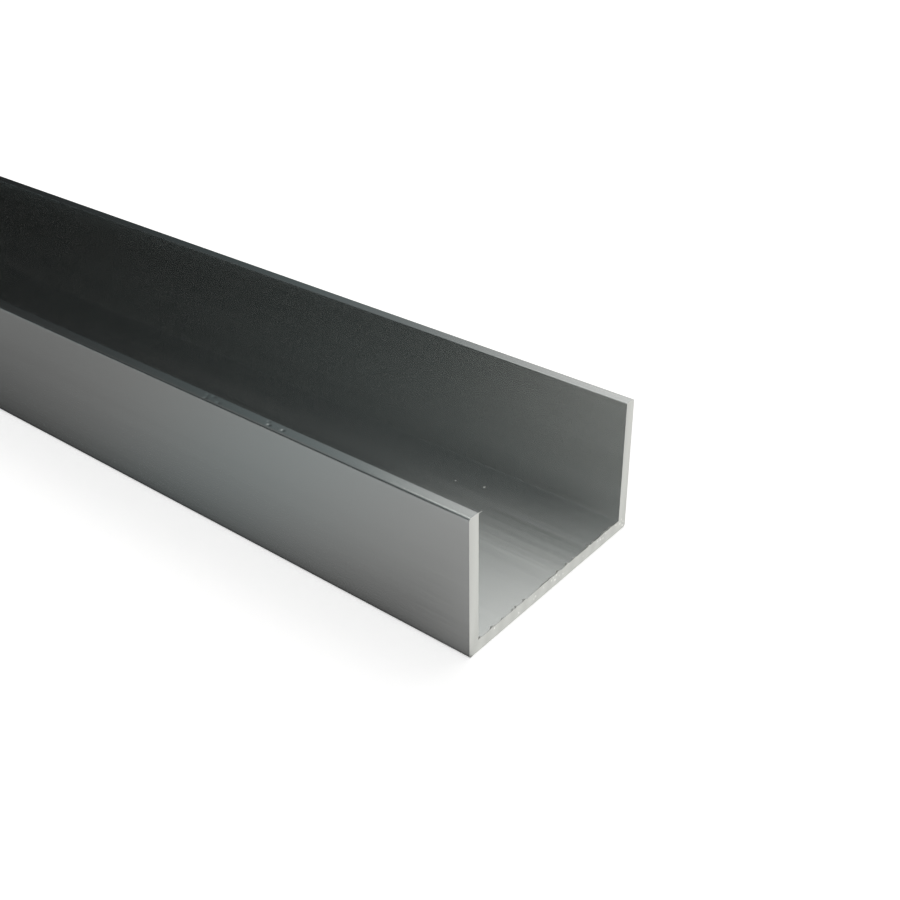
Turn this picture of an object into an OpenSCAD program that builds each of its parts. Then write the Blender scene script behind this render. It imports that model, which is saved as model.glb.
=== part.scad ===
// Aluminium U-channel: one extruded bar with a flat web, two upright flanges
// and a square sawn cut at each end.
// The length runs along X, the width along Y, and the web lies on Z = 0.
// The origin is at the middle of the underside of the web.

/* [Stock] */
// Length of the bar between its two sawn ends
stock_length = 1000; // [200:10:3000]

/* [Section] */
// Overall width, across the outer faces of the two flanges
web_width = 60; // [40:1:120]
// Overall height, from the underside of the web to the flange tips
flange_height = 35; // [20:1:80]
// Wall thickness of the web
web_wall = 3; // [1.5:0.1:6]
// Wall thickness of each flange
flange_wall = 3; // [1.5:0.1:6]

/* [Edges] */
// Radius on the outside corners and on the outer edge of each flange tip
edge_radius = 0.6; // [0.1:0.05:0.7]
// Radius on the inner edge of each flange tip
lip_radius = 0.2; // [0.1:0.05:0.7]
// Fillet radius in the two inside corners, where the flanges leave the web
root_radius = 0.1; // [0.1:0.05:2]

/* [Hidden] */
$fn = 48;

// From the middle of the section to the outer face of a flange
half_width = web_width / 2;
// The web runs into each flange as far as the middle of its wall
web_overlap = flange_wall / 2;

// What a rounding takes off a square corner at the origin, of a wall that lies right of it and above it
module corner_loss(radius) {
    difference() {
        translate([-radius, -radius])
            square(2 * radius);
        translate([radius, radius])
            circle(r = radius);
    }
}

// The fillet of an inside corner at the origin, carried back into both of its walls
module root_fillet(wall_x, wall_y, radius) {
    difference() {
        translate([-wall_x / 2, -wall_y / 2])
            square([wall_x / 2 + radius, wall_y / 2 + radius]);
        translate([radius, radius])
            circle(r = radius);
    }
}

// The left flange, with its three free corners rounded and the fillet at its foot
module flange_section() {
    translate([-half_width, 0])
        difference() {
            square([flange_wall, flange_height]);
            corner_loss(edge_radius);
            translate([0, flange_height])
                rotate(-90)
                    corner_loss(edge_radius);
            translate([flange_wall, flange_height])
                rotate(180)
                    corner_loss(lip_radius);
        }
    translate([-half_width + flange_wall, web_wall])
        root_fillet(flange_wall, web_wall, root_radius);
}

// The flat web between the two flanges
module web_section() {
    web_reach = half_width - flange_wall + web_overlap;
    translate([-web_reach, 0])
        square([2 * web_reach, web_wall]);
}

// The whole U, with its width along X and its height along Y
module channel_section() {
    web_section();
    for (side = [0, 1])
        mirror([side, 0])
            flange_section();
}

// The bar: the section carried along X, with the two ends cut square
module u_channel() {
    color("#a9acac")
        rotate([90, 0, 90])
            linear_extrude(height = stock_length, center = true)
                channel_section();
}

u_channel();
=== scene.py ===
"""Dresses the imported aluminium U-channel: its skin, sawn ends, burrs, flecks and nicks, on a plain stage."""

import math

import bpy
import numpy as np
from mathutils import Euler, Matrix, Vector


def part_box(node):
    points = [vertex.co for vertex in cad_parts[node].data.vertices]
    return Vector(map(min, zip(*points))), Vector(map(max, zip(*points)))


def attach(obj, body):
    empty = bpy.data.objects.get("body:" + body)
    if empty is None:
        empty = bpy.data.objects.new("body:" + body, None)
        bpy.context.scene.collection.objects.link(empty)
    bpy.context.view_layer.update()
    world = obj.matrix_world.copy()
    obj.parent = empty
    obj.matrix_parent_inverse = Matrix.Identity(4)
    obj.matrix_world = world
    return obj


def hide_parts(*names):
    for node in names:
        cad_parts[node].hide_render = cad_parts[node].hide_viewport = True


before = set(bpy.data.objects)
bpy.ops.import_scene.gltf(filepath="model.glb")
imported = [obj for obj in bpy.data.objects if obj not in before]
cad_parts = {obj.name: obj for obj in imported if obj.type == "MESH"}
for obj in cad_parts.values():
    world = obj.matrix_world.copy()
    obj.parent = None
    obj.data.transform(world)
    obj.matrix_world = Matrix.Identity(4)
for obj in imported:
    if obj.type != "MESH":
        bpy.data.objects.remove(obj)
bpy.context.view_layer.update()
BAR_LOW, BAR_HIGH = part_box("u_channel")
BAR_SIZE = BAR_HIGH - BAR_LOW

bl_info = {
    "name": "Aluminium U-Channel",
    "version": (1, 0, 0),
    "blender": (4, 5, 0),
    "location": "3D View > Sidebar > U-Channel",
    "description": "Builds a satin aluminium U-channel with sawn ends, and the stage it lies on",
    "category": "Object",
}

MM = 0.001


def linear(code):
    """Turns an sRGB hex colour into linear red, green and blue."""
    channels = np.array([int(code[k:k + 2], 16) for k in (1, 3, 5)]) / 255.0
    low = channels / 12.92
    high = ((channels + 0.055) / 1.055) ** 2.4
    return tuple(float(c) for c in np.where(channels <= 0.04045, low, high))


class ChannelSizes(bpy.types.PropertyGroup):
    """Sizes of the bar, its cut ends and the small damage on it"""

    length: bpy.props.FloatProperty(
        name="Length",
        description="Length of the bar between its two sawn ends",
        default=BAR_SIZE.x,
        unit="LENGTH",
    )
    width: bpy.props.FloatProperty(
        name="Width",
        description="Overall width across the outer faces of the flanges",
        default=BAR_SIZE.y,
        unit="LENGTH",
    )
    height: bpy.props.FloatProperty(
        name="Height",
        description="Overall height from the underside of the web to the flange tips",
        default=BAR_SIZE.z,
        unit="LENGTH",
    )
    web_wall: bpy.props.FloatProperty(
        name="Web wall",
        description="Wall thickness of the web",
        default=3.0 * MM,
        unit="LENGTH",
    )
    flange_wall: bpy.props.FloatProperty(
        name="Flange wall",
        description="Wall thickness of each flange",
        default=3.0 * MM,
        unit="LENGTH",
    )
    edge_radius: bpy.props.FloatProperty(
        name="Edge radius",
        description="Radius on the outside corners and on the outer edge of each flange tip",
        default=0.6 * MM,
        unit="LENGTH",
    )
    lip_radius: bpy.props.FloatProperty(
        name="Lip radius",
        description="Radius on the inner edge of each flange tip",
        default=0.2 * MM,
        unit="LENGTH",
    )
    root_radius: bpy.props.FloatProperty(
        name="Root radius",
        description="Fillet radius where the flanges leave the web",
        default=0.04 * MM,
        unit="LENGTH",
    )
    saw_depth: bpy.props.FloatProperty(
        name="Saw mark depth",
        description="Depth of the marks that the saw teeth leave on the cut ends",
        default=0.01 * MM,
        unit="LENGTH",
    )
    burr_height: bpy.props.FloatProperty(
        name="Burr height",
        description="Height of a large flake of the burr along the web's cut edge",
        default=0.34 * MM,
        unit="LENGTH",
    )
    whisker_length: bpy.props.FloatProperty(
        name="Whisker length",
        description="Length of the thread of metal that the saw pulls out of a flange corner",
        default=1.35 * MM,
        unit="LENGTH",
    )
    nick_depth: bpy.props.FloatProperty(
        name="Nick depth",
        description="Depth of the handling nicks in the front flange's tip",
        default=0.1 * MM,
        unit="LENGTH",
    )


class ChannelFinish(bpy.types.PropertyGroup):
    """Colours of the metal and of the stage"""

    skin: bpy.props.FloatVectorProperty(
        name="Extruded skin",
        description="Colour of the satin skin that the die leaves",
        default=linear("#CACBC9"),
        size=3,
        subtype="COLOR",
        min=0.0,
        max=1.0,
    )
    sawn: bpy.props.FloatVectorProperty(
        name="Sawn metal",
        description="Colour of the fresh metal on the cut ends and in the burr",
        default=linear("#CDCECA"),
        size=3,
        subtype="COLOR",
        min=0.0,
        max=1.0,
    )
    # The flecks' colour is partly fresh torn metal and partly a painted glint.
    torn: bpy.props.FloatVectorProperty(
        name="Torn metal",
        description="Colour of the bright flecks that the saw tore open",
        default=linear("#F1F1EC"),
        size=3,
        subtype="COLOR",
        min=0.0,
        max=1.0,
    )
    floor: bpy.props.FloatVectorProperty(
        name="Floor",
        description="Colour of the pale floor",
        default=linear("#F5F5F5"),
        size=3,
        subtype="COLOR",
        min=0.0,
        max=1.0,
    )
    # The card's darkest colour, in the painted reflection that it glows with.
    card: bpy.props.FloatVectorProperty(
        name="Dark card",
        description="Colour of the card that the left side of the bar reflects",
        default=linear("#0E1011"),
        size=3,
        subtype="COLOR",
        min=0.0,
        max=1.0,
    )
    # The sheet's palest colour, in the painted shade that it glows with.
    sheet: bpy.props.FloatVectorProperty(
        name="Grey sheet",
        description="Colour of the palest part of the sheet that the front flange reflects",
        default=linear("#FFFFFF"),
        size=3,
        subtype="COLOR",
        min=0.0,
        max=1.0,
    )
    # Tint of the painted reflections on the card and the sheet.
    cool: bpy.props.FloatVectorProperty(
        name="Cool cast",
        description="Colour that the cool stretches of the card and the sheet are multiplied by",
        default=linear("#E2FBFF"),
        size=3,
        subtype="COLOR",
        min=0.0,
        max=1.0,
    )
    key: bpy.props.FloatVectorProperty(
        name="Key light",
        description="Colour of the soft key light",
        default=linear("#FDFBF7"),
        size=3,
        subtype="COLOR",
        min=0.0,
        max=1.0,
    )


def add_node(tree, kind, inputs=None, **settings):
    """Adds a node with its settings; an input given as a socket is linked, and any other value is set."""
    node = tree.nodes.new(kind)
    for name, value in settings.items():
        setattr(node, name, value)
    for key, value in (inputs or {}).items():
        if isinstance(value, bpy.types.NodeSocket):
            tree.links.new(value, node.inputs[key])
        else:
            node.inputs[key].default_value = value
    return node


def blank_material(name):
    """Makes an empty node material and returns it with its tree."""
    material = bpy.data.materials.new(name)
    material.use_nodes = True
    material.node_tree.nodes.clear()
    return material, material.node_tree


def scale_of(*sizes):
    """Scales of a pattern with features of these sizes in mm: how many of each fit into a metre."""
    return tuple(1.0 / (size * MM) for size in sizes)


SKIN_ROUGHNESS = 0.23
# How far the die lines and streaks make the roughness stray from that
SKIN_UNEVEN = 0.03
SKIN_ANISOTROPY = 1.0
# What two noises added up mostly lie between
TWO_NOISES = {"From Min": 0.6, "From Max": 1.4}


def satin_extruded_aluminium(colour):
    """Satin aluminium as it leaves the die and the etch bath: a grey metal with a soft sheen.

    Fine die lines run along the bar, so the sheen spreads across it more than along it.
    """
    material, tree = blank_material("satin_extruded_aluminium")
    place = add_node(tree, "ShaderNodeTexCoord").outputs["Object"]
    # Die lines are about 0.1 mm wide; they are drawn 0.6 mm wide and 150 mm long, so that they show.
    fine = add_node(tree, "ShaderNodeMapping", {"Vector": place, "Scale": scale_of(150, 0.6, 0.6)})
    lines = add_node(
        tree, "ShaderNodeTexNoise", {"Vector": fine.outputs[0], "Scale": 1.0, "Detail": 2.0}
    )
    # Broad streaks about 5 mm wide and 300 mm long, where the die ran hotter or cooler.
    broad = add_node(tree, "ShaderNodeMapping", {"Vector": place, "Scale": scale_of(300, 5, 5)})
    streaks = add_node(
        tree, "ShaderNodeTexNoise", {"Vector": broad.outputs[0], "Scale": 1.0, "Detail": 1.0}
    )
    both = add_node(
        tree,
        "ShaderNodeMath",
        {0: lines.outputs[0], 1: streaks.outputs[0]},
        operation="ADD",
    )
    tint = add_node(
        tree,
        "ShaderNodeMapRange",
        {"Value": both.outputs[0], **TWO_NOISES, "To Min": 0.96, "To Max": 1.04},
    )
    # A colour mix has its factor at input 0, its colours at 6 and 7 and its result at output 2.
    shade = add_node(
        tree,
        "ShaderNodeMix",
        {0: 1.0, 6: (*colour, 1.0), 7: tint.outputs[0]},
        data_type="RGBA",
        blend_type="MULTIPLY",
    )
    rough = add_node(
        tree,
        "ShaderNodeMapRange",
        {
            "Value": both.outputs[0],
            **TWO_NOISES,
            "To Min": SKIN_ROUGHNESS - SKIN_UNEVEN,
            "To Max": SKIN_ROUGHNESS + SKIN_UNEVEN,
        },
    )
    bump = add_node(
        tree, "ShaderNodeBump", {"Strength": 0.15, "Distance": 0.02 * MM, "Height": lines.outputs[0]}
    )
    across = add_node(tree, "ShaderNodeTangent", direction_type="UV_MAP", uv_map="profile")
    metal = add_node(
        tree,
        "ShaderNodeBsdfPrincipled",
        {
            "Base Color": shade.outputs[2],
            "Metallic": 1.0,
            "Roughness": rough.outputs[0],
            "Anisotropic": SKIN_ANISOTROPY,
            "Normal": bump.outputs[0],
            "Tangent": across.outputs[0],
        },
    )
    add_node(tree, "ShaderNodeOutputMaterial", {"Surface": metal.outputs[0]})
    return material


# Middle of the saw blade at the end of the cut, in Y and Z
BLADE_PLACE = (-0.165, 0.03)
# What one noise and the arcs added up mostly lie between
NOISE_AND_ARCS = {"From Min": 0.3, "From Max": 1.6}
# A wave texture of scale 1 has a ring every 2 pi / 20 of a unit.
WAVE_UNIT = 2.0 * math.pi / 20.0


def sawn_aluminium(colour):
    """Freshly sawn aluminium: bright and matt, with broad arcs from the saw blade and a torn grain."""
    material, tree = blank_material("sawn_aluminium")
    place = add_node(tree, "ShaderNodeTexCoord").outputs["Object"]
    # Torn grain about 0.5 mm across.
    grain = add_node(tree, "ShaderNodeTexNoise", {"Vector": place, "Scale": scale_of(0.5)[0], "Detail": 3.0})
    # The blade comes in from the front and leaves broad arcs about 4.4 mm apart.
    blade = add_node(
        tree,
        "ShaderNodeMapping",
        {"Vector": place, "Location": (0.0, -BLADE_PLACE[0], -BLADE_PLACE[1]), "Scale": (0, 1, 1)},
    )
    arcs = add_node(
        tree,
        "ShaderNodeTexWave",
        {
            "Vector": blade.outputs[0],
            "Scale": WAVE_UNIT * scale_of(4.363)[0],
            "Distortion": 1.5,
            "Detail": 2.0,
        },
        wave_type="RINGS",
        rings_direction="SPHERICAL",
    )
    marks = add_node(
        tree, "ShaderNodeMath", {0: grain.outputs[0], 1: arcs.outputs[0]}, operation="ADD"
    )
    tint = add_node(
        tree,
        "ShaderNodeMapRange",
        {"Value": marks.outputs[0], **NOISE_AND_ARCS, "To Min": 0.97, "To Max": 1.03},
    )
    shade = add_node(
        tree,
        "ShaderNodeMix",
        {0: 1.0, 6: (*colour, 1.0), 7: tint.outputs[0]},
        data_type="RGBA",
        blend_type="MULTIPLY",
    )
    rough = add_node(
        tree,
        "ShaderNodeMapRange",
        {"Value": marks.outputs[0], **NOISE_AND_ARCS, "To Min": 0.66, "To Max": 0.6},
    )
    bump = add_node(
        tree, "ShaderNodeBump", {"Strength": 0.2, "Distance": 0.03 * MM, "Height": grain.outputs[0]}
    )
    metal = add_node(
        tree,
        "ShaderNodeBsdfPrincipled",
        {
            "Base Color": shade.outputs[2],
            "Metallic": 1.0,
            "Roughness": rough.outputs[0],
            "Normal": bump.outputs[0],
        },
    )
    add_node(tree, "ShaderNodeOutputMaterial", {"Surface": metal.outputs[0]})
    return material


# What one noise mostly lies between
ONE_NOISE = {"From Min": 0.3, "From Max": 0.7}


def torn_aluminium_painted_glint(colour):
    """Aluminium torn open by the saw: the brightest metal on the bar, partly because no oxide dulls it yet and
    partly as a painted glint.
    """
    material, tree = blank_material("torn_aluminium_painted_glint")
    place = add_node(tree, "ShaderNodeTexCoord").outputs["Object"]
    # Facets about 0.2 mm across.
    facets = add_node(tree, "ShaderNodeTexNoise", {"Vector": place, "Scale": scale_of(0.2)[0], "Detail": 1.0})
    tint = add_node(
        tree,
        "ShaderNodeMapRange",
        {"Value": facets.outputs[0], **ONE_NOISE, "To Min": 0.9, "To Max": 1.05},
    )
    shade = add_node(
        tree,
        "ShaderNodeMix",
        {0: 1.0, 6: (*colour, 1.0), 7: tint.outputs[0]},
        data_type="RGBA",
        blend_type="MULTIPLY",
    )
    rough = add_node(
        tree,
        "ShaderNodeMapRange",
        {"Value": facets.outputs[0], **ONE_NOISE, "To Min": 0.45, "To Max": 0.3},
    )
    metal = add_node(
        tree,
        "ShaderNodeBsdfPrincipled",
        {"Base Color": shade.outputs[2], "Metallic": 1.0, "Roughness": rough.outputs[0]},
    )
    add_node(tree, "ShaderNodeOutputMaterial", {"Surface": metal.outputs[0]})
    return material


def arc(centre, radius, start, stop, count):
    """Points on a circle: centre + radius (cos a, sin a), with a going evenly from start to stop degrees."""
    angle = np.radians(np.linspace(start, stop, count))
    return np.stack([centre[0] + radius * np.cos(angle), centre[1] + radius * np.sin(angle)], 1)


def between(start, stop, count):
    """Evenly spaced points strictly between two points."""
    share = np.linspace(0.0, 1.0, count + 2)[1:-1, None]
    return np.asarray(start) * (1.0 - share) + np.asarray(stop) * share


# Points on each rounded corner, between the corners of a flange, and from a corner to the middle of the web
ARC_POINTS = 7
FLANGE_POINTS = 46
WEB_POINTS = 42


def section_sides(sizes):
    """The outer and the inner side of the U, point for point, from the front tip round to the back tip.

    Each half runs from its tip: edge arc, straight flange, corner arc, straight web. The other is its mirror.
    """
    half = sizes.width / 2.0
    top = sizes.height
    edge = sizes.edge_radius
    lip = sizes.lip_radius
    root = sizes.root_radius
    inner_y = sizes.flange_wall - half
    bed = sizes.web_wall
    outer = np.concatenate([
        arc((edge - half, top - edge), edge, 90, 180, ARC_POINTS),
        between((-half, top - edge), (-half, edge), FLANGE_POINTS),
        arc((edge - half, edge), edge, 180, 270, ARC_POINTS),
        between((edge - half, 0.0), (0.0, 0.0), WEB_POINTS),
    ])
    inner = np.concatenate([
        arc((inner_y - lip, top - lip), lip, 90, 0, ARC_POINTS),
        between((inner_y, top - lip), (inner_y, bed + root), FLANGE_POINTS),
        arc((inner_y + root, bed + root), root, 180, 270, ARC_POINTS),
        between((inner_y + root, bed), (0.0, bed), WEB_POINTS),
    ])
    mirror = np.array([-1.0, 1.0])
    middle = np.zeros((1, 2))
    outer = np.concatenate([outer, middle, outer[::-1] * mirror])
    inner = np.concatenate([inner, middle + (0.0, bed), inner[::-1] * mirror])
    return outer, inner


# Spacing of the arcs that the saw teeth leave, and of the blade's slower chatter
TOOTH_SPACING = 0.7 * MM
CHATTER_SPACING = 3.1 * MM
# Angle at which the chatter starts (radians)
CHATTER_START = 0.8
# Depth (radians) and pace (radians per metre) of the slow wave across the bar that bends the teeth's arcs
ARC_BEND = 1.7
ARC_BEND_PACE = 410.0
# Shares of the relief: its middle level, the teeth and the chatter
RELIEF_MIDDLE = 0.5
TOOTH_SHARE = 0.32
CHATTER_SHARE = 0.18


def saw_relief(y, z):
    """Depth of the saw marks, from 0 to 1: sines of the distance from the middle of the blade.

    One has the spacing of the teeth and is bent by a slow wave across the bar. The other is the chatter.
    Along the web the mesh's step is close to the teeth's spacing, so there they leave only an uneven relief.
    """
    reach = np.hypot(y - BLADE_PLACE[0], z - BLADE_PLACE[1])
    teeth = np.sin(reach / TOOTH_SPACING * 2.0 * math.pi + ARC_BEND * np.sin(y * ARC_BEND_PACE))
    chatter = np.sin(reach / CHATTER_SPACING * 2.0 * math.pi + CHATTER_START)
    return RELIEF_MIDDLE + TOOTH_SHARE * teeth + CHATTER_SHARE * chatter


# Handling nicks in the front flange's tip: distance from the right end, distance in from the
# outer face, half length along the bar, half width across it (all mm), and share of the nick depth.
NICKS = np.array([
    (52.3, 1.4, 0.45, 0.45, 0.9),
    (56.4, 1.2, 0.55, 0.40, 1.0),
    (57.4, 2.2, 0.40, 0.30, 0.6),
    (72.5, 1.0, 0.70, 0.35, 0.6),
    (75.4, 2.3, 0.80, 0.40, 0.5),
    (76.5, 0.8, 0.50, 0.35, 0.8),
    (77.0, 2.0, 0.60, 0.35, 0.5),
])
# How strongly a rim rises round each nick
NICK_RIM = 0.45
# Stretches with nicks, as distances from the right end, and the step of the mesh over them (mm)
NICK_STRETCHES = ((50.5, 59.0), (70.5, 78.8))
NICK_STEP = 0.35
# Distances from each cut at which the mesh has points, and its step along the rest of the bar (mm)
END_STATIONS = np.array([0.0, 0.12, 0.4, 1.0, 2.4, 5.5, 12.0, 25.0])
BAR_STEP = 40.0


def stations(sizes):
    """Places along the bar: close together at the cut ends and over the nicks, far apart elsewhere."""
    length = sizes.length / MM
    nicks = [np.arange(low, high, NICK_STEP) for low, high in NICK_STRETCHES]
    middle = np.arange(BAR_STEP, length - END_STATIONS[-1], BAR_STEP)
    from_end = np.unique(np.concatenate([END_STATIONS, *nicks, middle, length - END_STATIONS]))
    return sizes.length / 2.0 - from_end[::-1] * MM


def nick_drop(x, y, sizes):
    """Depth of the nicks at points of the front flange's tip: a sum of round pits, each with a low rim."""
    along = (sizes.length / 2.0 - x)[..., None] / MM
    inward = (y + sizes.width / 2.0)[..., None] / MM
    reach = ((along - NICKS[:, 0]) / NICKS[:, 2]) ** 2 + ((inward - NICKS[:, 1]) / NICKS[:, 3]) ** 2
    return sizes.nick_depth * ((1.0 - NICK_RIM * reach) * np.exp(-reach) * NICKS[:, 4]).sum(-1)


# Points across a wall, between its outer and its inner side
TIP_POINTS = 9


def bar_surface(sizes):
    """Points, faces, face materials and corner UVs of the bar as one closed surface.

    The section's outline is carried along X. Each end is a grid over the cut: along the U and across
    its wall. Both cuts sink in from the end plane by the saw relief, and the front tip by the nicks.
    """
    outer, inner = section_sides(sizes)
    count = len(outer)
    share = np.linspace(0.0, 1.0, TIP_POINTS + 2)[:, None]
    cut = outer[:, None, :] * (1.0 - share) + inner[:, None, :] * share
    loop = np.concatenate([cut[:, 0], cut[-1, 1:-1], cut[::-1, -1], cut[0, -2:0:-1]])
    span = len(loop)
    xs = stations(sizes)
    rows = len(xs)

    walls = np.empty((rows, span, 3))
    walls[..., 0] = xs[:, None]
    walls[..., 1:] = loop
    depth = sizes.saw_depth * saw_relief(loop[:, 0], loop[:, 1])
    walls[0, :, 0] += depth
    walls[-1, :, 0] -= depth
    # The front flange's tip, down to where its outer edge's rounding ends.
    on_tip = (loop[:, 0] < 0.0) & (loop[:, 1] > sizes.height - sizes.edge_radius * 1.01)
    walls[..., 2] -= nick_drop(walls[..., 0], walls[..., 1], sizes) * on_tip

    centre = cut[1:-1, 1:-1].reshape(-1, 2)
    sink = sizes.saw_depth * saw_relief(centre[:, 0], centre[:, 1])
    left_cut = np.column_stack([xs[0] + sink, centre])
    right_cut = np.column_stack([xs[-1] - sink, centre])
    points = np.concatenate([walls.reshape(-1, 3), left_cut, right_cut])

    ids = np.arange(rows * span).reshape(rows, span)
    ahead = np.roll(ids, -1, axis=1)
    wall_faces = np.stack([ids[:-1], ahead[:-1], ahead[1:], ids[1:]], -1).reshape(-1, 4)

    def cut_faces(rim, first, flip):
        """Quads over one cut, whose border points are the wall's own."""
        grid = np.empty((count, TIP_POINTS + 2), int)
        grid[:, 0] = rim[:count]
        grid[-1, 1:-1] = rim[count:count + TIP_POINTS]
        grid[:, -1] = rim[count + TIP_POINTS:2 * count + TIP_POINTS][::-1]
        grid[0, 1:-1] = rim[2 * count + TIP_POINTS:][::-1]
        grid[1:-1, 1:-1] = first + np.arange(len(centre)).reshape(count - 2, TIP_POINTS)
        quads = np.stack([grid[:-1, :-1], grid[1:, :-1], grid[1:, 1:], grid[:-1, 1:]], -1).reshape(-1, 4)
        return quads[:, ::-1] if flip else quads

    left = cut_faces(ids[0], rows * span, True)
    right = cut_faces(ids[-1], rows * span + len(centre), False)
    faces = np.concatenate([wall_faces, left, right])
    finish = np.concatenate([np.zeros(len(wall_faces), int), np.ones(len(left) + len(right), int)])

    # The UV's U runs round the profile and its V along the bar, in metres; the cuts use Y and Z.
    steps = np.linalg.norm(np.roll(loop, -1, axis=0) - loop, axis=1)
    around = np.concatenate([[0.0], np.cumsum(steps)])
    corners = (rows - 1, span, 4)
    u = np.broadcast_to(np.stack([around[:-1], around[1:], around[1:], around[:-1]], -1), corners)
    v = np.broadcast_to(np.stack([xs[:-1], xs[:-1], xs[1:], xs[1:]], -1)[:, None], corners)
    wall_uv = np.stack([u, v], -1).reshape(-1, 2)
    cut_uv = points[np.concatenate([left, right]).reshape(-1), 1:]
    return points, faces, finish, np.concatenate([wall_uv, cut_uv])


def make_piece(name, points, faces, materials, finish=None, uv=None, sharp=40.0):
    """Puts arrays into a mesh at the origin, smooth except at edges sharper than an angle in degrees."""
    mesh = bpy.data.meshes.new(name)
    mesh.from_pydata(points.tolist(), [], [face.tolist() for face in faces])
    for material in materials:
        mesh.materials.append(material)
    if finish is not None:
        mesh.polygons.foreach_set("material_index", finish.astype(np.int32))
    if uv is not None:
        mesh.uv_layers.new(name="profile").data.foreach_set("uv", uv.astype(np.float32).ravel())
    mesh.polygons.foreach_set("use_smooth", np.ones(len(mesh.polygons), bool))
    mesh.update()
    mesh.set_sharp_from_angle(angle=math.radians(sharp))
    if mesh.validate():
        raise RuntimeError(f"{name} has faces that can't be used")
    piece = bpy.data.objects.new(name, mesh)
    bpy.context.scene.collection.objects.link(piece)
    return piece


def tube_faces(rows, span):
    """Quads of a closed ring carried along a path, with a face over each end."""
    ids = np.arange(rows * span).reshape(rows, span)
    ahead = np.roll(ids, -1, axis=1)
    sides = np.stack([ids[:-1], ahead[:-1], ahead[1:], ids[1:]], -1).reshape(-1, 4)
    return [*sides, ids[0][::-1], ids[-1]]


def smooth_noise(rng, count, width):
    """Seeded noise from 0 to 1 along a line, averaged over a window of that many points."""
    window = np.hanning(width + 2)[1:-1]
    rough = np.convolve(rng.random(count + width), window / window.sum(), mode="same")[:count]
    return (rough - rough.min()) / (rough.max() - rough.min())


class CHANNEL_OT_bar(bpy.types.Operator):
    """Makes the extruded bar with its sawn ends"""

    bl_idname = "channel.bar"
    bl_label = "Extruded Bar"

    def execute(self, context):
        sizes = context.scene.channel_sizes
        colours = context.scene.channel_finish
        metals = [satin_extruded_aluminium(colours.skin), sawn_aluminium(colours.sawn)]
        points, faces, finish, uv = bar_surface(sizes)
        bar = make_piece("extruded_bar", points, faces, metals, finish, uv)
        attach(bar, "root")
        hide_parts("u_channel")
        return {"FINISHED"}


# Flakes of the burr at the right end: place across the web, half width (mm), and share of the burr height.
RIGHT_FLAKES = np.array([
    (-26.2, 0.4, 0.7),
    (-22.1, 0.55, 0.8),
    (-18.5, 0.4, 0.5),
    (-14.7, 0.4, 0.7),
    (-13.5, 0.4, 0.8),
    (-10.6, 0.45, 0.9),
    (-3.4, 1.6, 0.5),
    (-0.8, 1.0, 0.6),
    (2.1, 0.5, 0.9),
    (5.7, 0.45, 1.1),
    (8.6, 0.5, 0.5),
    (14.4, 0.35, 1.0),
    (16.2, 0.5, 0.6),
    (21.0, 1.2, 0.6),
    (23.6, 0.8, 0.5),
])
# The left end has the same flakes, mirrored and moved 2.2 mm across.
LEFT_FLAKES = RIGHT_FLAKES * (-1.0, 1.0, 1.0) + (2.2, 0.0, 0.0)
# Steps across the web, and the seed of the noise
BURR_STEPS = 420
BURR_SEED = 7
# How far the burr's ramp runs in from the cut for each unit of its height, and the least that it runs in
BURR_RAMP = 2.1
BURR_LEAST_RAMP = 0.1 * MM
# The most that it is high between its flakes and on them, as shares of the burr height
BURR_REST = 0.16
BURR_MOST = 1.1
# The least that a flake's height is multiplied by where it is torn, and what a noise adds to that at most
BURR_TEAR = (0.75, 0.5)
# How far its lip stands out of the cut at least, and the share of its height that a noise adds at most
BURR_LIP = 0.004 * MM
BURR_LIP_SHARE = 0.1
# How deep its foot is sunk, and how far it tapers towards the flanges
BURR_SINK = 0.03 * MM
BURR_TAPER = 0.4 * MM


def burr_surface(sizes, flakes, end, seed):
    """A torn ridge along the web's cut edge: a thin wedge carried across the web, steep over the cut.

    Its height is a low seeded noise plus the highest of the flakes' bell curves, each torn by a second noise.
    Behind the cut it ramps down to the web.
    """
    rng = np.random.default_rng(seed)
    stop = sizes.width / 2.0 - sizes.flange_wall - sizes.root_radius
    y = np.linspace(-stop, stop, BURR_STEPS)
    bells = np.exp(-(((y[:, None] / MM) - flakes[:, 0]) / flakes[:, 1]) ** 2) * flakes[:, 2]
    torn = BURR_TEAR[0] + BURR_TEAR[1] * smooth_noise(rng, BURR_STEPS, 3)
    share = np.clip(BURR_REST * smooth_noise(rng, BURR_STEPS, 5) + bells.max(1) * torn, 0.0, BURR_MOST)
    height = sizes.burr_height * share * np.clip((stop - np.abs(y)) / BURR_TAPER, 0.0, 1.0)
    out = BURR_LIP_SHARE * height * smooth_noise(rng, BURR_STEPS, 9) + BURR_LIP
    ramp = BURR_RAMP * height + BURR_LEAST_RAMP
    sunk = np.full(BURR_STEPS, -BURR_SINK)
    # Round the wedge: its foot at the cut, lip, crest, shoulder, toe on the web and middle of the underside.
    xs = np.stack([out - BURR_SINK, out, out - BURR_SINK, -0.35 * ramp, -ramp, -0.5 * ramp], 1)
    zs = np.stack([sunk, 0.6 * height, height, 0.62 * height, sunk * 0.3, sunk], 1)
    ys = np.broadcast_to(y[:, None], xs.shape)
    ring = np.stack([end * (sizes.length / 2.0 + xs), ys, sizes.web_wall + zs], -1)
    # The right end's ring runs the other way round, so that the faces of both point outwards.
    if end > 0:
        ring = ring[:, ::-1]
    return ring.reshape(-1, 3), tube_faces(BURR_STEPS, ring.shape[1])


WHISKER_STEPS = 14
WHISKER_SIDES = 8
WHISKER_RADIUS = 0.06 * MM
# Where it starts: how deep in the flange, how far under the tip and how far behind the cut
WHISKER_ROOT = 0.2 * MM
WHISKER_DROP = 0.28 * MM
WHISKER_INSET = 0.03 * MM
# How far it rises, sags again and bends out of the cut
WHISKER_RISE = 0.16 * MM
WHISKER_SAG = 0.06 * MM
WHISKER_BEND = 0.1 * MM


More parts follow.
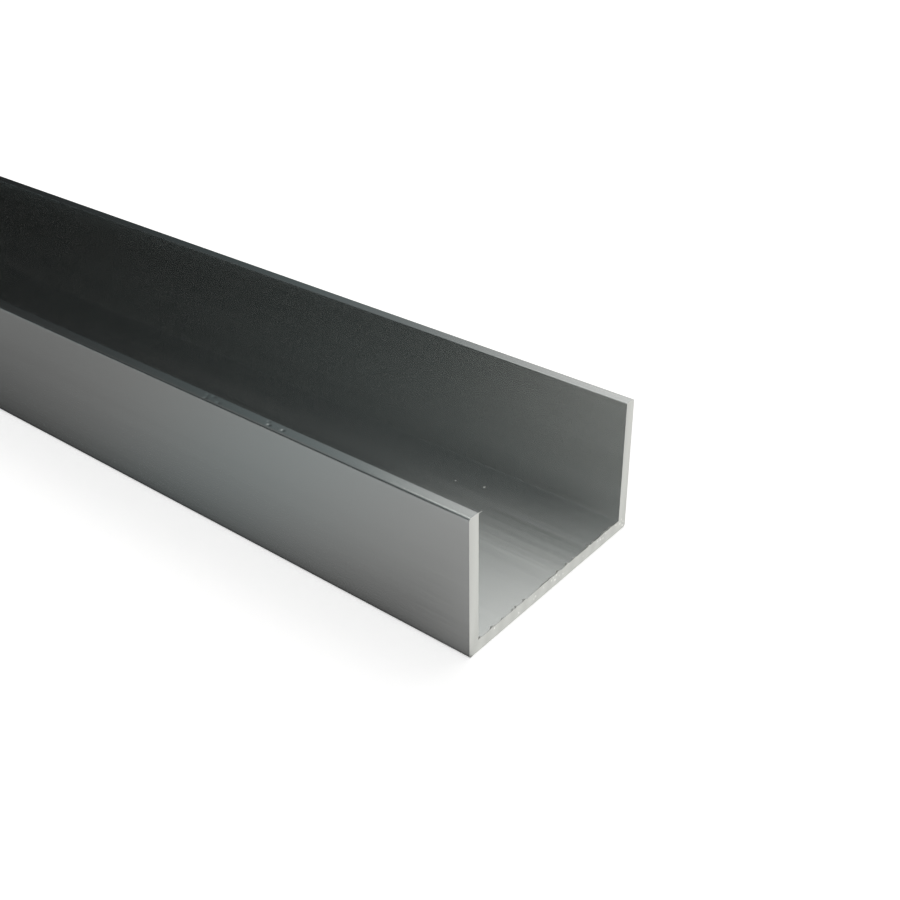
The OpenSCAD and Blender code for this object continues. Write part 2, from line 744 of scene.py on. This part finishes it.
def whisker_surface(sizes, end, side):
    """A thread pulled from a flange's inner top corner: a circle whose radius falls along a bent line.

    At the share s of the way, the radius has 1 - 0.9 s^1.5 of its size. The line rises as the sine of 2.2 s,
    sags with s, and bends out of the cut with s^2.
    """
    share = np.linspace(0.0, 1.0, WHISKER_STEPS)[:, None]
    turn = np.linspace(0.0, 2.0 * math.pi, WHISKER_SIDES, endpoint=False)
    radius = WHISKER_RADIUS * (1.0 - 0.9 * share ** 1.5)
    root_y = sizes.width / 2.0 - sizes.flange_wall + WHISKER_ROOT
    y = -side * (root_y - sizes.whisker_length * share)
    z = sizes.height - WHISKER_DROP + WHISKER_RISE * np.sin(share * 2.2) - WHISKER_SAG * share
    x = end * (sizes.length / 2.0 - WHISKER_INSET + WHISKER_BEND * share ** 2)
    ring = np.stack([
        x + radius * np.cos(turn),
        np.broadcast_to(y, (WHISKER_STEPS, WHISKER_SIDES)),
        z + radius * np.sin(turn),
    ], -1)
    # A thread towards +Y has its ring the other way round, so that the faces of both point outwards.
    if side > 0:
        ring = ring[:, ::-1]
    return ring.reshape(-1, 3), tube_faces(WHISKER_STEPS, WHISKER_SIDES)


# Torn flecks on the right cut: place across the bar, height above the floor, radius and height of each (mm)
RIGHT_FLECKS = np.array([
    (-21.5, 2.5, 0.20, 0.10),
    (-12.9, 1.1, 0.22, 0.12),
    (-7.3, 1.3, 0.18, 0.10),
    (-6.7, 1.7, 0.24, 0.14),
    (-3.6, 2.2, 0.16, 0.08),
    (-0.6, 2.3, 0.22, 0.12),
    (0.1, 2.6, 0.18, 0.10),
    (0.7, 1.7, 0.28, 0.18),
    (1.3, 2.7, 0.20, 0.12),
    (2.4, 1.9, 0.16, 0.10),
    (3.9, 1.5, 0.18, 0.10),
    (12.0, 1.6, 0.16, 0.08),
    (17.9, 2.4, 0.18, 0.10),
    (19.2, 2.2, 0.26, 0.17),
    (20.3, 1.9, 0.22, 0.12),
    (21.4, 2.6, 0.16, 0.08),
    (25.8, 2.6, 0.20, 0.12),
    (27.6, 2.0, 0.24, 0.15),
    (28.2, 2.9, 0.18, 0.10),
    (28.8, 0.9, 0.24, 0.16),
    (29.0, 1.9, 0.16, 0.10),
])
# The left cut has the same flecks, mirrored and moved 0.8 mm across.
LEFT_FLECKS = RIGHT_FLECKS * (-1.0, 1.0, 1.0, 1.0) + (0.8, 0.0, 0.0, 0.0)
# Flecks that the die dragged onto the web: distance from the right end, place across the bar, radius and
# height of each (mm)
BED_FLECKS = np.array([
    (33.9, 19.0, 0.30, 0.09),
    (41.3, 16.9, 0.20, 0.05),
    (148.0, -8.4, 0.30, 0.16),
    (312.0, 12.2, 0.28, 0.18),
    (547.0, -17.5, 0.32, 0.20),
    (733.0, 4.1, 0.26, 0.15),
])
FLECK_SEED = 21
# Points round a fleck, and its rings as shares of the way out
FLECK_SIDES = 12
FLECK_RINGS = np.array([0.4, 0.75, 0.93, 1.0])
# Heights of the two waves in its outline, as shares of its radius
FLECK_WAVES = (0.28, 0.16)
# How deep its rim is sunk into the metal
FLECK_SINK = 0.012 * MM


def fleck_surface(flecks, seed):
    """Low domes on a plane, one for each row: points along, across and up from it, in metres, and faces.

    At the share r of the way out, a dome has (1 - r^2) of its height. Its outline is a circle with two
    waves, of two and three crests, that start at seeded angles. A point just under the plane closes it below.
    """
    rng = np.random.default_rng(seed)
    along, across, radius, height = flecks.T[..., None, None] * MM
    turn = np.linspace(0.0, 2.0 * math.pi, FLECK_SIDES, endpoint=False)
    start = rng.random((2, len(flecks), 1, 1)) * 2.0 * math.pi
    waves = FLECK_WAVES[0] * np.sin(2.0 * turn + start[0]) + FLECK_WAVES[1] * np.sin(3.0 * turn + start[1])
    out = radius * FLECK_RINGS[:, None] * (1.0 + waves)
    rise = np.broadcast_to(height * (1.0 - FLECK_RINGS[:, None] ** 2) - FLECK_SINK, out.shape)
    rings = np.stack([along + out * np.cos(turn), across + out * np.sin(turn), rise], -1)
    middle = np.stack([along, across, height - FLECK_SINK], -1)
    under = middle * (1.0, 1.0, 0.0) - (0.0, 0.0, 2.0 * FLECK_SINK)
    count = len(FLECK_RINGS) * FLECK_SIDES
    points = np.concatenate([middle[:, 0], rings.reshape(-1, count, 3), under[:, 0]], 1)

    ids = 1 + np.arange(count).reshape(len(FLECK_RINGS), FLECK_SIDES)
    ahead = np.roll(ids, -1, axis=1)
    top = np.stack([np.zeros(FLECK_SIDES, int), ids[0], ahead[0]], -1)
    sides = np.stack([ids[:-1], ids[1:], ahead[1:], ahead[:-1]], -1).reshape(-1, 4)
    below = np.stack([np.full(FLECK_SIDES, count + 1), ahead[-1], ids[-1]], -1)
    shift = (np.arange(len(flecks)) * (count + 2))[:, None, None]
    faces = [face for part in (top, sides, below) for face in (part + shift).reshape(-1, part.shape[1])]
    return points.reshape(-1, 3), faces


def cut_flecks(sizes, flecks, end, seed):
    """The domes of one cut: along is Y, across is Z, and up is out of the end."""
    points, faces = fleck_surface(flecks, seed)
    placed = np.column_stack([end * (sizes.length / 2.0 + points[:, 2]), points[:, 0], points[:, 1]])
    return placed, faces if end > 0 else [face[::-1] for face in faces]


def bed_flecks(sizes, flecks, seed):
    """The domes on the web: along is X from the right end, across is Y, and up is Z."""
    points, faces = fleck_surface(flecks, seed)
    placed = np.column_stack([sizes.length / 2.0 - points[:, 0], points[:, 1], sizes.web_wall + points[:, 2]])
    return placed, [face[::-1] for face in faces]


class CHANNEL_OT_flecks(bpy.types.Operator):
    """Makes the torn flecks on the cut ends and the flecks that the die left on the web"""

    bl_idname = "channel.flecks"
    bl_label = "Flecks"

    def execute(self, context):
        sizes = context.scene.channel_sizes
        metal = torn_aluminium_painted_glint(context.scene.channel_finish.torn)
        made = {
            "torn_flecks_right": cut_flecks(sizes, RIGHT_FLECKS, 1.0, FLECK_SEED),
            "torn_flecks_left": cut_flecks(sizes, LEFT_FLECKS, -1.0, FLECK_SEED + 1),
            "pick_up_flecks": bed_flecks(sizes, BED_FLECKS, FLECK_SEED + 2),
        }
        for name, (points, faces) in made.items():
            piece = make_piece(name, points, faces, [metal], sharp=70.0)
            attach(piece, "root")
        return {"FINISHED"}


class CHANNEL_OT_burrs(bpy.types.Operator):
    """Makes the burrs that the saw leaves on the cut edges"""

    bl_idname = "channel.burrs"
    bl_label = "Saw Burrs"

    def execute(self, context):
        sizes = context.scene.channel_sizes
        metal = bpy.data.materials.get("sawn_aluminium")
        if metal is None:
            raise RuntimeError("make the bar first: the burrs take its sawn metal")
        made = {
            "saw_burr_right": burr_surface(sizes, RIGHT_FLAKES, 1.0, BURR_SEED),
            "saw_burr_left": burr_surface(sizes, LEFT_FLAKES, -1.0, BURR_SEED + 1),
            "whisker_right": whisker_surface(sizes, 1.0, 1.0),
            "whisker_left": whisker_surface(sizes, -1.0, -1.0),
        }
        for name, (points, faces) in made.items():
            piece = make_piece(name, points, faces, [metal], sharp=60.0)
            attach(piece, "root")
        return {"FINISHED"}


WHITE = (1.0, 1.0, 1.0, 1.0)
# Half the floor's width, and how far the floor and the sheet of painted floor shade lie under the bar
FLOOR_REACH = 12.0
FLOOR_DROP = 0.05 * MM
SHEET_DROP = 0.02 * MM
# Glow of the floor where it is seen, and level of the surround as light
FLOOR_GLOW = 0.47
AMBIENT = 0.59
# The card stands round the visible end, as part of a cylinder, and glows with a painted reflection for the
# metal.
# Its directions are degrees from +X towards +Y, and its radius and heights are in metres.
CARD_RADIUS = 2.2
# Its back edge, how far that edge leans out at the foot, and the heights between which it leans
CARD_BACK = 122.1
CARD_LEAN = 9.5
CARD_LEAN_RISE = (0.8, 1.25)
# Reach and power of the fall of its tone from the back edge
CARD_FALL = (11.6, 1.08)
# Directions over which it turns pale at its front edge, and heights over which it turns pale at the top
CARD_FRONT = (238.7, 240.4)
CARD_RISE = (0.74, 6.65)
# How much paler the painted reflection is over its front half and at its foot, up to these directions and
# heights
CARD_LIFT = 0.01
CARD_LIFT_TURN = (165.0, 205.0)
CARD_FOOT = 0.6
CARD_FOOT_TURN = (227.0, 238.0)
CARD_FOOT_RISE = (0.05, 0.34)
# Middle and reach of its two cool stretches
CARD_COOL = ((143.0, 10.0), (214.0, 17.0))
# Shares of its width at which its mesh has columns, closer together over the quarter at the back edge
CARD_COLUMNS = np.concatenate([np.linspace(0.0, 0.25, 60), np.linspace(0.27, 1.0, 60)])
# Shares of its height at which its mesh has rows, closer together towards the foot
CARD_ROWS = np.linspace(0.0, 1.0, 72) ** 1.5
# The sheet lies in front of the bar and glows with painted shade: the floor with the bar's shadow on it, which
# only the metal shows. Its places are in metres.
# Where its tone steps up along the bar, its two tones, and where it ends at the right
SHEET_TURN = (0.281, 0.468)
SHEET_TONE = (0.347, 0.671)
SHEET_STOP = (0.475, 0.505)
# Depths in front of the bar over which it fades out
SHEET_FADE = (0.56, 1.04)
# Its painted shadow: how dark it is at the bar's foot, how deep that reaches, and where it turns black under
# the rounded corner
SHEET_FOOT_SHADOW = 0.799
SHEET_SHADOW_DEPTH = 0.0365
SHEET_HEEL_SHADOW = (-0.3 * MM, 1.2 * MM)
# Depths at which its mesh has points: under the corner, over the painted shadow at the foot, and further out
SHEET_DEPTHS = np.concatenate([
    np.array([-1.0, -0.3, 0.1, 0.4, 0.7, 1.2]) * MM,
    np.linspace(0.0025, 0.12, 48),
    np.linspace(0.13, SHEET_FADE[1], 24),
])
# Number of places along its right half at which its mesh has points
SHEET_COLUMNS = 90
# Middle and reach of its cool stretch along the bar, and the share of the cast there
SHEET_COOL = (0.405, 0.04)
SHEET_COOL_SHARE = 0.35
# The soft key light: its place, size and power; it points at the visible end
KEY_PLACE = (0.142, 1.118, 2.207)
KEY_SIZE = (2.396, 1.079)
KEY_POWER = 9.7
# The photo's camera: focal length and sensor width (mm), place, rotation, shift and nearest visible distance
LENS = 49.031
SENSOR = 36.0
EYE = (0.61963, -0.18155, 0.17066)
AIM_DEGREES = (59.2938, 0.4573, 38.7499)
SHIFT = (-0.006, -0.02707)
NEAREST = 0.005


def seen_ray(tree):
    """1 for the rays of the camera and those that metal or glass sends on, and 0 for the rest."""
    path = add_node(tree, "ShaderNodeLightPath")
    seen = add_node(
        tree,
        "ShaderNodeMath",
        {0: path.outputs["Is Camera Ray"], 1: path.outputs["Is Glossy Ray"]},
        operation="MAXIMUM",
    )
    seen = add_node(
        tree,
        "ShaderNodeMath",
        {0: seen.outputs[0], 1: path.outputs["Is Transmission Ray"]},
        operation="MAXIMUM",
    )
    return seen.outputs[0]


def white_world(scene):
    """A plain white surround: 1 for what the camera and the metal see, and the ambient level for the rest."""
    world = bpy.data.worlds.new("white_surround")
    world.use_nodes = True
    tree = world.node_tree
    tree.nodes.clear()
    level = add_node(tree, "ShaderNodeMapRange", {"Value": seen_ray(tree), "To Min": AMBIENT, "To Max": 1.0})
    glow = add_node(tree, "ShaderNodeBackground", {"Color": WHITE, "Strength": level.outputs[0]})
    add_node(tree, "ShaderNodeOutputWorld", {"Surface": glow.outputs[0]})
    scene.world = world


def matt_paper(colour):
    """Matt white paper with a glow for what the camera and the metal see, so that it reads as white."""
    material, tree = blank_material("matt_white_paper")
    level = add_node(tree, "ShaderNodeMath", {0: seen_ray(tree), 1: FLOOR_GLOW}, operation="MULTIPLY")
    glow = add_node(tree, "ShaderNodeEmission", {"Color": WHITE, "Strength": level.outputs[0]})
    paper = add_node(tree, "ShaderNodeBsdfDiffuse", {"Color": (*colour, 1.0)})
    both = add_node(tree, "ShaderNodeAddShader", {0: paper.outputs[0], 1: glow.outputs[0]})
    add_node(tree, "ShaderNodeOutputMaterial", {"Surface": both.outputs[0]})
    return material


def graded_board(name):
    """A board that glows with its own graded colours though it is no lamp, so that the metal shows them as
    painted reflections.
    """
    material, tree = blank_material(name)
    shade = add_node(tree, "ShaderNodeAttribute", attribute_name="shade")
    glow = add_node(tree, "ShaderNodeEmission", {"Color": shade.outputs["Color"], "Strength": 1.0})
    add_node(tree, "ShaderNodeOutputMaterial", {"Surface": glow.outputs[0]})
    # The board is no lamp: only rays that the metal reflects find it, which leaves less grain.
    material.cycles.emission_sampling = "NONE"
    return material


def smooth_step(values, low, high):
    """0 below low, 1 above high, and 3 t^2 - 2 t^3 between them, with t the share of the way."""
    share = np.clip((values - low) / (high - low), 0.0, 1.0)
    return share * share * (3.0 - 2.0 * share)


def bell(values, middle, reach):
    """1 at the middle, falling as exp(-t^2), with t the distance from it over the reach."""
    return np.exp(-(((values - middle) / reach) ** 2))


def graded(tone, dark, pale, cool, share):
    """Colours from dark to pale by tone, multiplied by the cool cast over its share."""
    tone = tone[..., None]
    share = share[..., None]
    plain = np.array(dark) * (1.0 - tone) + np.array(pale) * tone
    return plain * (1.0 - share + share * np.array(cool))


def card_grid(end, colours):
    """A curved card on edge that glows with a painted reflection: part of a cylinder about the visible end, by
    direction and height.

    Its back edge leans out towards the foot. Its tone falls from 1 at that edge as a stretched exponential of
    the direction. It rises smoothly to 1 at the front edge and towards the top, and part of the way at the
    foot. Two bell curves of the direction make it cooler.
    """
    rise = CARD_RISE[1] * CARD_ROWS
    edge = CARD_BACK - CARD_LEAN * (1.0 - smooth_step(rise, *CARD_LEAN_RISE))
    share = CARD_COLUMNS[:, None]
    turn = edge * (1.0 - share) + CARD_FRONT[1] * share
    rise = np.broadcast_to(rise, turn.shape)
    points = np.stack([
        end + CARD_RADIUS * np.cos(np.radians(turn)),
        CARD_RADIUS * np.sin(np.radians(turn)),
        rise,
    ], -1)
    back = np.exp(-((turn - edge) / CARD_FALL[0]) ** CARD_FALL[1])
    dark = (1.0 - back) * (1.0 - smooth_step(turn, *CARD_FRONT)) * (1.0 - smooth_step(rise, *CARD_RISE))
    foot = CARD_FOOT * (1.0 - smooth_step(turn, *CARD_FOOT_TURN)) * (1.0 - smooth_step(rise, *CARD_FOOT_RISE))
    lift = (CARD_LIFT + foot) * smooth_step(turn, *CARD_LIFT_TURN)
    cool_share = sum(bell(turn, *place) for place in CARD_COOL)
    return points, graded(1.0 - dark * (1.0 - lift), colours.card, WHITE[:3], colours.cool, cool_share)


def sheet_grid(sizes, colours):
    """A flat sheet of painted shade along the bar's front, by place along the bar and depth in front of it.

    Its tone steps up smoothly to the right, and fades to 1 at its edges. As a painted shadow of the bar, it
    falls exponentially towards the bar's foot, and smoothly to 0 under the corner. A bell curve of the place
    along the bar makes it cooler.
    """
    columns = np.concatenate([[-sizes.length / 2.0], np.linspace(0.0, SHEET_STOP[1], SHEET_COLUMNS)])
    along, depth = np.meshgrid(columns, SHEET_DEPTHS, indexing="ij")
    points = np.stack([along, -sizes.width / 2.0 - depth, np.full(along.shape, -SHEET_DROP)], -1)
    turn = smooth_step(along, *SHEET_TURN)
    tone = SHEET_TONE[0] * (1.0 - turn) + SHEET_TONE[1] * turn
    fade = (1.0 - smooth_step(along, *SHEET_STOP)) * (1.0 - smooth_step(depth, *SHEET_FADE))
    # Painted contact shadow at the bar's foot, and painted shadow under its rounded corner
    foot = 1.0 - SHEET_FOOT_SHADOW * np.exp(-np.maximum(depth, 0.0) / SHEET_SHADOW_DEPTH)
    heel = smooth_step(depth, *SHEET_HEEL_SHADOW)
    tone = (tone * fade + 1.0 - fade) * foot * heel
    cool_share = SHEET_COOL_SHARE * bell(along, *SHEET_COOL)
    return points, graded(tone, (0.0, 0.0, 0.0), colours.sheet, colours.cool, cool_share)


def make_board(name, grid, material):
    """A stage board that only reflections show, with the colours of its painted reflection stored on its
    points.
    """
    points, shade = grid
    ids = np.arange(points[..., 0].size).reshape(points.shape[:2])
    faces = np.stack([ids[:-1, :-1], ids[1:, :-1], ids[1:, 1:], ids[:-1, 1:]], -1).reshape(-1, 4)
    board = make_piece(name, points.reshape(-1, 3), faces, [material])
    solid = np.concatenate([shade, np.ones((*shade.shape[:2], 1))], -1)
    board.data.attributes.new("shade", "FLOAT_COLOR", "POINT").data.foreach_set("color", solid.ravel())
    board.visible_camera = False
    board.visible_diffuse = False
    board.visible_shadow = False


class CHANNEL_OT_stage(bpy.types.Operator):
    """Makes the floor, the two boards of painted reflection, the lamp, the surround and the camera"""

    bl_idname = "channel.stage"
    bl_label = "Stage"

    def execute(self, context):
        scene = context.scene
        sizes = scene.channel_sizes
        colours = scene.channel_finish
        scene.view_settings.view_transform = "Standard"

        corner = np.array([(-1, -1), (1, -1), (1, 1), (-1, 1)]) * FLOOR_REACH
        floor_points = np.column_stack([corner, np.full(4, -FLOOR_DROP)])
        floor = make_piece("floor", floor_points, np.array([[0, 1, 2, 3]]), [matt_paper(colours.floor)])

        # The card glows with a painted reflection round the visible end.
        make_board("painted_reflection_card", card_grid(sizes.length / 2.0, colours), graded_board("painted_reflection_glow"))
        # The sheet glows with painted shade: the floor's shadow in front of the bar, as the metal shows it.
        make_board("painted_floor_shade", sheet_grid(sizes, colours), graded_board("painted_floor_shade_glow"))

        white_world(scene)

        lamp = bpy.data.lights.new("soft_key", "AREA")
        lamp.shape = "RECTANGLE"
        lamp.size, lamp.size_y = KEY_SIZE
        lamp.energy = KEY_POWER
        lamp.color = colours.key
        key = bpy.data.objects.new("soft_key", lamp)
        key.location = KEY_PLACE
        aim = Vector((sizes.length / 2.0, 0.0, 0.0)) - key.location
        key.rotation_euler = aim.to_track_quat("-Z", "Y").to_euler()
        scene.collection.objects.link(key)

        lens = bpy.data.cameras.new("photo_camera")
        lens.sensor_fit = "HORIZONTAL"
        lens.sensor_width = SENSOR
        lens.lens = LENS
        lens.shift_x, lens.shift_y = SHIFT
        lens.clip_start = NEAREST
        camera = bpy.data.objects.new("photo_camera", lens)
        camera.location = EYE
        camera.rotation_euler = Euler(np.radians(AIM_DEGREES))
        scene.collection.objects.link(camera)
        scene.camera = camera
        return {"FINISHED"}


class CHANNEL_PT_sidebar(bpy.types.Panel):
    """Lists the bar's sizes and colours and the steps that build it"""

    bl_idname = "CHANNEL_PT_sidebar"
    bl_label = "U-Channel"
    bl_space_type = "VIEW_3D"
    bl_region_type = "UI"
    bl_category = "U-Channel"

    def draw(self, context):
        for group in (context.scene.channel_sizes, context.scene.channel_finish):
            box = self.layout.box()
            for name in group.__annotations__:
                box.prop(group, name)
        for step in STEPS:
            self.layout.operator(step.bl_idname)


STEPS = (CHANNEL_OT_bar, CHANNEL_OT_burrs, CHANNEL_OT_flecks, CHANNEL_OT_stage)
CLASSES = (ChannelSizes, ChannelFinish, *STEPS, CHANNEL_PT_sidebar)


def register():
    for cls in CLASSES:
        bpy.utils.register_class(cls)
    bpy.types.Scene.channel_sizes = bpy.props.PointerProperty(type=ChannelSizes)
    bpy.types.Scene.channel_finish = bpy.props.PointerProperty(type=ChannelFinish)


def unregister():
    del bpy.types.Scene.channel_finish
    del bpy.types.Scene.channel_sizes
    for cls in reversed(CLASSES):
        bpy.utils.unregister_class(cls)


def main():
    """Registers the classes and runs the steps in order."""
    register()
    bpy.ops.channel.bar()
    bpy.ops.channel.burrs()
    bpy.ops.channel.flecks()
    bpy.ops.channel.stage()


if __name__ == "__main__":
    main()
